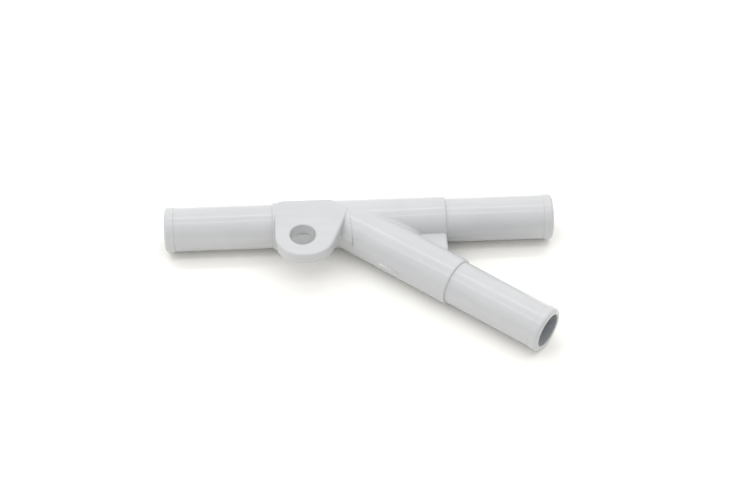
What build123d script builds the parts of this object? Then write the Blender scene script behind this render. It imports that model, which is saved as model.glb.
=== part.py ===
from build123d import *
import os
from math import radians, tan

# One hollow moulding: a straight run, a branch that leaves it at a slant, and a flat
# lug beside the junction. It is built with the crossing of the two axes at the origin,
# the run along X and the parting plane of the mould at Z = 0. The lug is on the -Y side,
# as the branch is, and its top is level with the tops of the tubes.

# Spigots that the tubing is pushed onto, and the passages inside them
SPIGOT_DIAMETER = 20.4
SPIGOT_WALL = 2.4
RUN_SPIGOT_LENGTH = 49.8
BRANCH_SPIGOT_LENGTH = 48.3
BAND_LENGTH = 4.6
BAND_RISE = 0.35
BAND_RAMP = 0.4
NOSE_RADIUS = 1.7
MOUTH_CHAMFER = 0.4

# Thicker body that the spigots leave with a shoulder, and the blend in its crotch
SHOULDER_STEP = 0.9
RUN_BODY_LEFT = 34.1
RUN_BODY_RIGHT = 46.1
BRANCH_BODY_LENGTH = 61.9
BRANCH_ANGLE = 38.3
SHOULDER_RADIUS = 0.8
VALLEY_RADIUS = 1.5

# Web across the crotch, its free edge in line with the right shoulder of the run
WEB_THICKNESS = 5.8
WEB_EDGE_RADIUS = 1.5

# Lug: a plate with a round tip about its hole
HOLE_DIAMETER = 11.9
HOLE_CHAMFER = 0.3
LUG_THICKNESS = 5.9
LUG_RISE = 0.2
LUG_INSET = 1.3
LUG_STAND_OUT = 17.5
LUG_RING = 6.65
LUG_TIP_FLAT = 2.2
LUG_SIDE_ANGLE = 21.0
LUG_CORNER_Y = 0.2
LUG_BACK = 5.8
LUG_BACK_STEP = 8.5
LUG_BACK_RADIUS = 4.0
LUG_CORNER_RADIUS = 1.0
LUG_EDGE_RADIUS = 1.1
LUG_UNDER_CHAMFER = 0.3

# Root of the lug: upright walls that let the mould open, and a fuller shoulder
ROOT_CLEARANCE = 0.1
ROOT_LEAD = 0.5
ROOT_SHOULDER_STAND = 0.9
ROOT_SHOULDER_CHAMFER = 0.5

# Trimmed gate on the parting line of the branch
GATE_START = 27.0
GATE_LENGTH = 10.0
GATE_HEIGHT = 0.8
GATE_STAND = 0.25

SPIGOT_RADIUS = SPIGOT_DIAMETER / 2
BORE_RADIUS = SPIGOT_RADIUS - SPIGOT_WALL
BODY_RADIUS = SPIGOT_RADIUS + SHOULDER_STEP
ROOT_RADIUS = BODY_RADIUS + ROOT_CLEARANCE
LUG_TOP = BODY_RADIUS + LUG_RISE
LUG_BOTTOM = LUG_TOP - LUG_THICKNESS
LUG_TIP_RADIUS = HOLE_DIAMETER / 2 + LUG_RING
LUG_REACH = BODY_RADIUS + LUG_STAND_OUT
LUG_LEFT = LUG_INSET - RUN_BODY_LEFT
LUG_FRONT_RIGHT = (LUG_LEFT + LUG_TIP_RADIUS + LUG_TIP_FLAT
                   + LUG_TIP_RADIUS * tan(radians((90 - LUG_SIDE_ANGLE) / 2)))
LUG_RIGHT = LUG_FRONT_RIGHT + (LUG_CORNER_Y + LUG_REACH) * tan(radians(LUG_SIDE_ANGLE))
LUG_BACK_RIGHT = LUG_RIGHT - LUG_BACK_STEP
ROOT_END = LUG_RIGHT + ROOT_LEAD
HOLE_X = LUG_LEFT + LUG_TIP_RADIUS
HOLE_Y = LUG_TIP_RADIUS - LUG_REACH
RUN_LEFT = RUN_BODY_LEFT + RUN_SPIGOT_LENGTH
RUN_RIGHT = RUN_BODY_RIGHT + RUN_SPIGOT_LENGTH
BRANCH_TIP = BRANCH_BODY_LENGTH + BRANCH_SPIGOT_LENGTH
BACKWARDS = Rot(0, 0, 180)
ALONG_BRANCH = Rot(0, 0, -BRANCH_ANGLE)


def round_corner(outline, x, y, radius):
    """Rounds the corner of a flat outline that lies at x, y."""
    corner = outline.vertices().sort_by_distance((x, y, 0))[0]
    return fillet(corner, radius)


def arm(body_length, spigot_length):
    """One solid arm along +X: body, shoulder, spigot, raised band and round nose."""
    band = SPIGOT_RADIUS + BAND_RISE
    tip = body_length + spigot_length
    ramp_start = tip - BAND_LENGTH
    outline = make_face(Polyline(
        (0, 0), (0, BODY_RADIUS), (body_length, BODY_RADIUS), (body_length, SPIGOT_RADIUS),
        (ramp_start, SPIGOT_RADIUS), (ramp_start + BAND_RAMP, band), (tip, band), (tip, 0),
        close=True))
    outline = round_corner(outline, body_length, BODY_RADIUS, SHOULDER_RADIUS)
    outline = round_corner(outline, tip, band, NOSE_RADIUS)
    return revolve(outline, Axis.X)


def passage(length):
    """The bore of one arm, from the junction out through the nose."""
    lying = Plane((0, 0, 0), z_dir=(1, 0, 0))
    return extrude(lying * Circle(BORE_RADIUS), length)


def tubes():
    """The run and the branch, still solid."""
    left = BACKWARDS * arm(RUN_BODY_LEFT, RUN_SPIGOT_LENGTH)
    right = arm(RUN_BODY_RIGHT, RUN_SPIGOT_LENGTH)
    branch = ALONG_BRANCH * arm(BRANCH_BODY_LENGTH, BRANCH_SPIGOT_LENGTH)
    return left + right + branch


def passages():
    """All three bores, which meet at the junction."""
    left = BACKWARDS * passage(RUN_LEFT)
    right = passage(RUN_RIGHT)
    branch = ALONG_BRANCH * passage(BRANCH_TIP)
    return left + right + branch


def crotch_web():
    """The flat web that ties the branch to the run at mid-height."""
    far_y = -RUN_BODY_RIGHT * tan(radians(BRANCH_ANGLE))
    outline = make_face(Polyline(
        (0, 0), (RUN_BODY_RIGHT, 0), (RUN_BODY_RIGHT, far_y), close=True))
    web = Pos(0, 0, -WEB_THICKNESS / 2) * extrude(outline, WEB_THICKNESS)
    free_edges = web.faces().sort_by(Axis.X)[-1].edges().filter_by(Axis.Y)
    return fillet(free_edges, WEB_EDGE_RADIUS)


def joined_tubes():
    """Run, branch and web, with the valley between the two tubes blended."""
    joined = tubes() + crotch_web()
    seams = joined.edges().filter_by(GeomType.ELLIPSE)
    valley = [seam for seam in seams if (seam @ 0.5).X > 0 and abs((seam @ 0.5).Z) > WEB_THICKNESS]
    return fillet(valley, VALLEY_RADIUS)


def lug_outline():
    """Plan of the lug: square to the run on its left, slanted on its right."""
    outline = make_face(Polyline(
        (LUG_LEFT, LUG_BACK), (LUG_LEFT, -LUG_REACH), (LUG_FRONT_RIGHT, -LUG_REACH),
        (LUG_RIGHT, LUG_CORNER_Y), (LUG_BACK_RIGHT, LUG_BACK), close=True))
    outline = round_corner(outline, LUG_LEFT, -LUG_REACH, LUG_TIP_RADIUS)
    outline = round_corner(outline, LUG_FRONT_RIGHT, -LUG_REACH, LUG_TIP_RADIUS)
    outline = round_corner(outline, LUG_LEFT, LUG_BACK, LUG_BACK_RADIUS)
    outline = round_corner(outline, LUG_BACK_RIGHT, LUG_BACK, LUG_CORNER_RADIUS)
    return round_corner(outline, LUG_RIGHT, LUG_CORNER_Y, LUG_CORNER_RADIUS)


def lug_hole():
    """The screw hole, through the plate and no deeper."""
    return Pos(HOLE_X, HOLE_Y, LUG_BOTTOM) * extrude(Circle(HOLE_DIAMETER / 2), LUG_THICKNESS)


def lug_plate():
    """The plate with its edges rounded and the upper rim of its hole broken."""
    plate = Pos(0, 0, LUG_BOTTOM) * extrude(lug_outline(), LUG_THICKNESS)
    plate = fillet(plate.edges().group_by(Axis.Z)[-1], LUG_EDGE_RADIUS)
    plate = chamfer(plate.edges().group_by(Axis.Z)[0], LUG_UNDER_CHAMFER)
    plate = plate - lug_hole()
    rim = plate.edges().sort_by_distance((HOLE_X, HOLE_Y, LUG_TOP))[0]
    return chamfer(rim, HOLE_CHAMFER)


def lug_root():
    """Upright walls under the plate, beside the widest line of each tube."""
    beside_run = Rectangle(2 * RUN_BODY_LEFT, 2 * ROOT_RADIUS)
    strip = Rectangle(BRANCH_BODY_LENGTH, 2 * ROOT_RADIUS)
    beside_branch = ALONG_BRANCH * Pos(BRANCH_BODY_LENGTH / 2, 0) * strip
    under_plate = lug_outline() & (beside_run + beside_branch)
    return extrude(under_plate, LUG_TOP - LUG_EDGE_RADIUS)


def root_shoulder():
    """The fuller corner of the branch between the lug and the end of its root."""
    lying = Plane((0, -ROOT_SHOULDER_STAND, 0), z_dir=(1, 0, 0))
    fuller_bar = extrude(lying * Circle(BODY_RADIUS), 2 * ROOT_RADIUS, both=True)
    front_top = Box(4 * ROOT_RADIUS, ROOT_RADIUS, ROOT_RADIUS)
    front_top = Pos(0, -ROOT_RADIUS / 2, ROOT_RADIUS / 2) * front_top
    shoulder = ALONG_BRANCH * (fuller_bar & front_top)
    reach = ROOT_END - LUG_BACK_RIGHT
    keep = Box(reach, 2 * ROOT_RADIUS, ROOT_RADIUS)
    shoulder = shoulder & (Pos(ROOT_END - reach / 2, -ROOT_RADIUS, ROOT_RADIUS / 2) * keep)
    end_rim = shoulder.faces().sort_by(Axis.X)[-1].edges().filter_by(GeomType.ELLIPSE)
    return chamfer(end_rim, ROOT_SHOULDER_CHAMFER)


def gate():
    """The low pad left where the gate was trimmed off."""
    centre = Pos(GATE_START + GATE_LENGTH / 2, -BODY_RADIUS, 0)
    return ALONG_BRANCH * centre * Box(GATE_LENGTH, 2 * GATE_STAND, GATE_HEIGHT)


def mouth_edges(shape):
    """The three round edges where the bores open."""
    circles = shape.edges().filter_by(GeomType.CIRCLE)
    return [edge for edge in circles if abs(edge.radius - BORE_RADIUS) < MOUTH_CHAMFER / 10]


def y_connector():
    """The whole moulding, standing on the ground with its middle above the origin."""
    body = joined_tubes() + lug_root() + root_shoulder() + lug_plate() + gate()
    body = body - passages() - lug_hole()
    body = chamfer(mouth_edges(body), MOUTH_CHAMFER)
    box = body.bounding_box()
    return Pos(-box.center().X, -box.center().Y, -box.min.Z) * body


os.makedirs("parts", exist_ok=True)
export_step(y_connector(), "parts/y_connector.step")
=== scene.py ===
from math import radians
import bpy
from mathutils import Matrix, Vector


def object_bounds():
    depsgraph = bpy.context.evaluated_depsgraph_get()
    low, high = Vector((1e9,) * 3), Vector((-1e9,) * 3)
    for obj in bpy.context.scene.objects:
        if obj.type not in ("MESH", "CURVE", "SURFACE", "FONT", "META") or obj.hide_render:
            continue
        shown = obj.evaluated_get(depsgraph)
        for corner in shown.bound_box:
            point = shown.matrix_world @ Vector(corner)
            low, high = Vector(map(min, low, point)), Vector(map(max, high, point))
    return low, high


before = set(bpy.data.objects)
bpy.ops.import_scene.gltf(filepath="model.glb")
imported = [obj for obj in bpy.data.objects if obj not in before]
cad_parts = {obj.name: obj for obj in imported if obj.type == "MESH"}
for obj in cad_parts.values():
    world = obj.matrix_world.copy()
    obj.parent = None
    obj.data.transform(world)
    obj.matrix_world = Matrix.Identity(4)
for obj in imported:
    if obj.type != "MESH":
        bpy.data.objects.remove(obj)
cad_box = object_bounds()

# Camera: a 36 mm sensor behind a lens of 86 mm, about 0.8 m from the fitting. It looks down
# at 48 degrees, nearly square to the run, so the lug's top and the branch's mouth both show.
MM = 0.001
SENSOR_WIDTH = 36.0
LENS = 85.75
CAMERA_AT = Vector((-21.2, -519.6, 614.2)) * MM
CAMERA_AIM = Vector((3.96, 17.96, 11.1)) * MM
CAMERA_ROLL = radians(-0.07)
NEAREST_SEEN = 10 * MM
FARTHEST_SEEN = 20000 * MM

camera = bpy.data.objects.new("camera", bpy.data.cameras.new("camera"))
bpy.context.scene.collection.objects.link(camera)
camera.data.sensor_width = SENSOR_WIDTH
camera.data.lens = LENS
camera.data.clip_start = NEAREST_SEEN
camera.data.clip_end = FARTHEST_SEEN
looking = (CAMERA_AIM - CAMERA_AT).to_track_quat("-Z", "Y").to_matrix().to_4x4()
camera.matrix_world = Matrix.Translation(CAMERA_AT) @ looking @ Matrix.Rotation(CAMERA_ROLL, 4, "Z")
bpy.context.scene.camera = camera


# Sweep: the sheet of uncoated white paper that the fitting lies on. It is cast on a wire
# and pressed, not polished, so it scatters light evenly and shows no reflection. Its tooth
# is about 0.15 mm across, too fine to show, and is drawn four times as coarse.
PAPER_WHITE = "#FBFAF6"
PAPER_ROUGHNESS = 0.9
PAPER_GLOSS = 0.2
PAPER_TOOTH = 0.6 * MM
PAPER_TOOTH_DEPTH = 0.01 * MM
PAPER_HALF = 3000 * MM


def linear(code):
    """An sRGB hex colour as linear light, with an alpha of 1."""
    parts = [int(code[i:i + 2], 16) / 255 for i in (1, 3, 5)]
    return [c / 12.92 if c <= 0.04045 else ((c + 0.055) / 1.055) ** 2.4 for c in parts] + [1.0]


def add_node(tree, kind, inputs=None, **settings):
    """Adds a node. Each input is a value, or the output that is linked to it.

    Sockets go by their identifiers, because on a Math or a Mix node they share one name.
    """
    node = tree.nodes.new(kind)
    for name, value in settings.items():
        setattr(node, name, value)
    sockets = {socket.identifier: socket for socket in node.inputs}
    for name, value in (inputs or {}).items():
        if isinstance(value, bpy.types.NodeSocket):
            tree.links.new(value, sockets[name])
        else:
            sockets[name].default_value = value
    return {socket.identifier: socket for socket in node.outputs}


paper = bpy.data.materials.new("uncoated white paper")
paper.use_nodes = True
fibres = paper.node_tree
paper_shader = fibres.nodes["Principled BSDF"]
paper_shader.inputs["Base Color"].default_value = linear(PAPER_WHITE)
paper_shader.inputs["Roughness"].default_value = PAPER_ROUGHNESS
paper_shader.inputs["Specular IOR Level"].default_value = PAPER_GLOSS
paper_place = add_node(fibres, "ShaderNodeTexCoord")["Object"]
tooth = add_node(
    fibres, "ShaderNodeTexNoise", {"Vector": paper_place, "Scale": 1 / PAPER_TOOTH})["Fac"]
paper_normal = add_node(
    fibres, "ShaderNodeBump", {"Height": tooth, "Distance": PAPER_TOOTH_DEPTH})["Normal"]
fibres.links.new(paper_normal, paper_shader.inputs["Normal"])

sheet = bpy.data.meshes.new("paper_sheet")
corners = [(x * PAPER_HALF, y * PAPER_HALF, 0.0) for x, y in ((-1, -1), (1, -1), (1, 1), (-1, 1))]
sheet.from_pydata(corners, [], [(0, 1, 2, 3)])
sheet.materials.append(paper)
floor = bpy.data.objects.new("paper_sheet", sheet)
bpy.context.scene.collection.objects.link(floor)


# Light: a white tent that is brightest above and a little behind, and dims towards the
# floor. Two long tubes hang inside it, along the run, and draw its two thin highlights.
TENT_WHITE = "#FFFFFF"
TENT_POLE = Vector((-0.2, 0.42, 1.0)).normalized()
TENT_DIM_FROM = -0.2                             # cosine of the angle to the pole
TENT_DIM = 0.45
TENT_BRIGHT = 1.47
TUBE_LENGTH = 1600 * MM
TUBE_WIDTH = 50 * MM
TUBE_HEIGHT = 1000 * MM
TUBES = {"tube_behind": (400 * MM, 1.6), "tube_before": (-140 * MM, 1.35)}     # Y, and watts

world = bpy.data.worlds.new("white tent")
world.use_nodes = True
tent = world.node_tree
tent_cloth = tent.nodes["Background"]
tent_cloth.inputs["Color"].default_value = linear(TENT_WHITE)
outlook = add_node(tent, "ShaderNodeTexCoord")["Generated"]
nearness = add_node(
    tent, "ShaderNodeVectorMath", {"Vector": outlook, "Vector_001": TENT_POLE},
    operation="DOT_PRODUCT")["Value"]
glow = add_node(tent, "ShaderNodeMapRange", {
    "Value": nearness, "From Min": TENT_DIM_FROM, "To Min": TENT_DIM, "To Max": TENT_BRIGHT,
    })["Result"]
tent.links.new(glow, tent_cloth.inputs["Strength"])
bpy.context.scene.world = world
bpy.context.scene.view_settings.view_transform = "Standard"

for name, (beside, power) in TUBES.items():
    lamp = bpy.data.lights.new(name, "AREA")
    lamp.shape = "RECTANGLE"
    lamp.size = TUBE_LENGTH
    lamp.size_y = TUBE_WIDTH
    lamp.energy = power
    tube = bpy.data.objects.new(name, lamp)
    bpy.context.scene.collection.objects.link(tube)
    hung = Vector((0.0, beside, TUBE_HEIGHT))
    turned = (-hung).to_track_quat("-Z", "Y").to_matrix().to_4x4()
    tube.matrix_world = Matrix.Translation(hung) @ turned


# Connector: one hollow injection moulding in grey polypropylene, pigmented in the mass.
# Two half moulds shape the outside and three core pins shape the bores, and the gate is
# trimmed by hand. It is a CAD node whose shape is right, so only its finish is made here.
BODY_RADIUS = 11.1 * MM
BODY_MARGIN = 0.5 * MM
LEFT_ARM = 83.9 * MM                             # from the junction to the left mouth
BRANCH_TURN = radians(38.3)
BRANCH_FROM = 16.0 * MM                          # from the junction, where it leaves the run
POLYPROPYLENE_IOR = 1.49

# The mould was spark-eroded and then stoned, which leaves a soft sheen with thin, clean
# highlights. The cooling skin shrinks a little unevenly, so the highlights waver.
plastic = bpy.data.materials.new("moulded grey polypropylene")
plastic.use_nodes = True
skin = plastic.node_tree
shader = skin.nodes["Principled BSDF"]
shader.inputs["IOR"].default_value = POLYPROPYLENE_IOR
place = add_node(skin, "ShaderNodeTexCoord")["Object"]

# Where a point lies by each tube, from the junction, where their axes cross: X runs along
# the tube's axis, and Y and Z are across it. The run is the back of the fitting, and it
# rests on the ground at its own radius.
left_mouth = cad_box[0][0]
back = cad_box[1][1]
junction = Vector((left_mouth + LEFT_ARM, back - BODY_RADIUS, BODY_RADIUS))
by_run = add_node(
    skin, "ShaderNodeVectorMath", {"Vector": place, "Vector_001": junction},
    operation="SUBTRACT")["Vector"]
by_branch = add_node(
    skin, "ShaderNodeMapping", {"Vector": by_run, "Rotation": (0.0, 0.0, BRANCH_TURN)})["Vector"]


def from_axis(by_tube):
    """How far a point is from the axis of a tube."""
    across = add_node(
        skin, "ShaderNodeVectorMath", {"Vector": by_tube, "Vector_001": (0.0, 1.0, 1.0)},
        operation="MULTIPLY")["Vector"]
    return add_node(skin, "ShaderNodeVectorMath", {"Vector": across}, operation="LENGTH")["Value"]


def region(*limits):
    """A part of the moulding: 1 where every limit holds, and 0 elsewhere."""
    share = 1.0
    for distance, comparison, bound in limits:
        held = add_node(
            skin, "ShaderNodeMath", {"Value": distance, "Value_001": bound},
            operation=comparison)["Value"]
        share = add_node(
            skin, "ShaderNodeMath", {"Value": share, "Value_001": held},
            operation="MULTIPLY")["Value"]
    return share


past_junction = add_node(skin, "ShaderNodeSeparateXYZ", {"Vector": by_branch})["X"]
from_branch = from_axis(by_branch)
on_branch = region((past_junction, "GREATER_THAN", BRANCH_FROM),
                   (from_branch, "LESS_THAN", BODY_RADIUS + BODY_MARGIN))
by_tube = add_node(
    skin, "ShaderNodeMix", {"Factor_Float": on_branch, "A_Vector": by_run, "B_Vector": by_branch},
    data_type="VECTOR")["Result_Vector"]


def streaks(width, length):
    """Marks of a real width and length, drawn out along the tube that they are on."""
    drawn_out = add_node(
        skin, "ShaderNodeMapping", {"Vector": by_tube, "Scale": (width / length, 1.0, 1.0)})["Vector"]
    return add_node(skin, "ShaderNodeTexNoise", {"Vector": drawn_out, "Scale": 1 / width})["Fac"]


# Colour: pigment gathers in faint clouds, and the flowing melt draws it out along each tube.
# A spread holds the noise levels at which a mark begins to show and is at its fullest.
PLASTIC_LIGHT = "#C2C3C4"
PLASTIC_DARK = "#BEBFC1"
PIGMENT_CLOUD = 14.0 * MM
CLOUD_DETAIL = 3.0
FLOW_LENGTH = 26.0 * MM
FLOW_WIDTH = 3.0 * MM
FLOW_SHARE = 0.4
PIGMENT_SPREAD = (0.35, 0.65)
clouds = add_node(skin, "ShaderNodeTexNoise", {
    "Vector": place, "Scale": 1 / PIGMENT_CLOUD, "Detail": CLOUD_DETAIL})["Fac"]
pigment = add_node(skin, "ShaderNodeMix", {
    "Factor_Float": FLOW_SHARE, "A_Float": clouds, "B_Float": streaks(FLOW_WIDTH, FLOW_LENGTH),
    })["Result_Float"]
tint = add_node(
    skin, "ShaderNodeMapRange",
    {"Value": pigment, "From Min": PIGMENT_SPREAD[0], "From Max": PIGMENT_SPREAD[1]},
    interpolation_type="SMOOTHSTEP")["Result"]
colour = add_node(
    skin, "ShaderNodeMix",
    {"Factor_Float": tint, "A_Color": linear(PLASTIC_DARK), "B_Color": linear(PLASTIC_LIGHT)},
    data_type="RGBA")["Result_Color"]

# Bores: the walls inside the tubes are darkened and greyed as painted shade, for the shade that falls
# in them. The core pins are left as turned, and drag as they are drawn out, so these walls are also
# duller than the outside.
BORE_PAINTED_SHADE = "#A4A7AB"
BORE_RADIUS = 7.8 * MM
BORE_MARGIN = 0.15 * MM
BORE_DULLNESS = 0.25
bore_wall = BORE_RADIUS + BORE_MARGIN
in_run_bore = region((from_axis(by_run), "LESS_THAN", bore_wall))
in_branch_bore = region((from_branch, "LESS_THAN", bore_wall), (past_junction, "GREATER_THAN", 0.0))
in_bore = add_node(
    skin, "ShaderNodeMath", {"Value": in_run_bore, "Value_001": in_branch_bore},
    operation="MAXIMUM")["Value"]
# Painted shade: the colour of the bore walls is swapped for a darker grey.
colour = add_node(
    skin, "ShaderNodeMix",
    {"Factor_Float": in_bore, "A_Color": colour, "B_Color": linear(BORE_PAINTED_SHADE)},
    data_type="RGBA")["Result_Color"]

# Raised bands: hose pushed over them rubs them along their length and pales them a little.
# The marks are drawn about three times as wide as real ones, so that they show.
RUBBED = "#C5C6C8"
BAND_INSIDE = 10.3 * MM                          # from the axis, just over the spigot
BAND_OUTSIDE = 10.75 * MM                        # from the axis, just over the band
BAND_FROM = 75.0 * MM                            # from the junction, along the tube
RUB_WIDTH = 0.3 * MM
RUB_LENGTH = 1.5 * MM
RUB_SPREAD = (0.5, 0.75)
RUB_DULLNESS = 0.05
from_tube = from_axis(by_tube)
along_tube = add_node(skin, "ShaderNodeSeparateXYZ", {"Vector": by_tube})["X"]
either_way = add_node(
    skin, "ShaderNodeMath", {"Value": along_tube}, operation="ABSOLUTE")["Value"]
on_band = region((either_way, "GREATER_THAN", BAND_FROM),
                 (from_tube, "GREATER_THAN", BAND_INSIDE),
                 (from_tube, "LESS_THAN", BAND_OUTSIDE))
rubs = add_node(
    skin, "ShaderNodeMapRange",
    {"Value": streaks(RUB_WIDTH, RUB_LENGTH), "From Min": RUB_SPREAD[0],
     "From Max": RUB_SPREAD[1], "To Max": on_band},
    interpolation_type="SMOOTHSTEP")["Result"]
colour = add_node(
    skin, "ShaderNodeMix",
    {"Factor_Float": rubs, "A_Color": colour, "B_Color": linear(RUBBED)},
    data_type="RGBA")["Result_Color"]

# Gate scar: a painted glint, a paler colour laid over the trimmed gate pad, brightest at its end
# towards the junction and fading out along the branch.
GATE_GLINT = "#DCDDDE"
GATE_ALONG = 32.0 * MM                           # from the junction, along the branch
GATE_HALF = Vector((5.1, 0.5, 0.45)) * MM        # along, out from and up the branch
gate_middle = Vector((GATE_ALONG, -BODY_RADIUS, 0.0))
from_gate = add_node(
    skin, "ShaderNodeVectorMath", {"Vector": by_branch, "Vector_001": gate_middle},
    operation="SUBTRACT")["Vector"]
along_gate = add_node(skin, "ShaderNodeSeparateXYZ", {"Vector": from_gate})["X"]
reach = add_node(
    skin, "ShaderNodeVectorMath", {"Vector": from_gate}, operation="ABSOLUTE")["Vector"]
sides = add_node(skin, "ShaderNodeSeparateXYZ", {"Vector": reach})
on_gate = region(*((sides[axis], "LESS_THAN", half) for axis, half in zip("XYZ", GATE_HALF)))
gate_glint = add_node(skin, "ShaderNodeMapRange", {
    "Value": along_gate, "From Min": -GATE_HALF.x, "From Max": GATE_HALF.x,
    "To Min": on_gate, "To Max": 0.0})["Result"]
# Painted highlight: the gate pad is paled, most at its end near the junction.
colour = add_node(
    skin, "ShaderNodeMix",
    {"Factor_Float": gate_glint, "A_Color": colour, "B_Color": linear(GATE_GLINT)},
    data_type="RGBA")["Result_Color"]
skin.links.new(colour, shader.inputs["Base Color"])

# Sheen: it changes a little from place to place, and fine scuffs run along each tube. Real
# scuffs are about 0.05 mm wide, too fine to show, and are drawn five times as wide.
SHEEN = (0.17, 0.21)
SHEEN_SIZE = 5.0 * MM
SHEEN_SPREAD = (0.3, 0.7)
SCUFF_LENGTH = 7.0 * MM
SCUFF_WIDTH = 0.25 * MM
SCUFF_SPREAD = (0.70, 0.78)
SCUFF_DULLNESS = 0.08
patches = add_node(skin, "ShaderNodeTexNoise", {"Vector": place, "Scale": 1 / SHEEN_SIZE})["Fac"]
roughness = add_node(
    skin, "ShaderNodeMapRange",
    {"Value": patches, "From Min": SHEEN_SPREAD[0], "From Max": SHEEN_SPREAD[1],
     "To Min": SHEEN[0], "To Max": SHEEN[1]},
    interpolation_type="SMOOTHSTEP")["Result"]
scuffs = add_node(
    skin, "ShaderNodeMapRange",
    {"Value": streaks(SCUFF_WIDTH, SCUFF_LENGTH), "From Min": SCUFF_SPREAD[0],
     "From Max": SCUFF_SPREAD[1]},
    interpolation_type="SMOOTHSTEP")["Result"]
for mark, dullness in ((scuffs, SCUFF_DULLNESS), (rubs, RUB_DULLNESS), (in_bore, BORE_DULLNESS)):
    roughness = add_node(
        skin, "ShaderNodeMath", {"Value": mark, "Value_001": dullness, "Value_002": roughness},
        operation="MULTIPLY_ADD")["Value"]
skin.links.new(roughness, shader.inputs["Roughness"])

# Relief: the grain of the eroded mould is about 0.05 mm across, too fine to show, and is
# drawn ten times as coarse. The parting line is drawn about twice as wide as a real one.
# Shallow sink lies under both. All of it is in metres, so the bump has a distance of 1.
MOULD_GRAIN = 0.5 * MM
GRAIN_DEPTH = 0.004 * MM
SINK_WIDTH = 9.0 * MM
SINK_LENGTH = 27.0 * MM
SINK_DEPTH = 0.006 * MM
PARTING_HALF = 0.12 * MM
PARTING_HEIGHT = 0.02 * MM
grain = add_node(skin, "ShaderNodeTexNoise", {"Vector": place, "Scale": 1 / MOULD_GRAIN})["Fac"]
above = add_node(skin, "ShaderNodeSeparateXYZ", {"Vector": by_run})["Z"]
off_parting = add_node(skin, "ShaderNodeMath", {"Value": above}, operation="ABSOLUTE")["Value"]
relief = add_node(
    skin, "ShaderNodeMapRange",
    {"Value": off_parting, "From Max": PARTING_HALF, "To Min": PARTING_HEIGHT, "To Max": 0.0},
    interpolation_type="SMOOTHSTEP")["Result"]
for mark, depth in ((grain, GRAIN_DEPTH), (streaks(SINK_WIDTH, SINK_LENGTH), SINK_DEPTH)):
    relief = add_node(
        skin, "ShaderNodeMath", {"Value": mark, "Value_001": depth, "Value_002": relief},
        operation="MULTIPLY_ADD")["Value"]
normal = add_node(skin, "ShaderNodeBump", {"Height": relief, "Distance": 1.0})["Normal"]
skin.links.new(normal, shader.inputs["Normal"])

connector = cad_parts["y_connector"]
for slot in connector.material_slots:
    slot.material = plastic
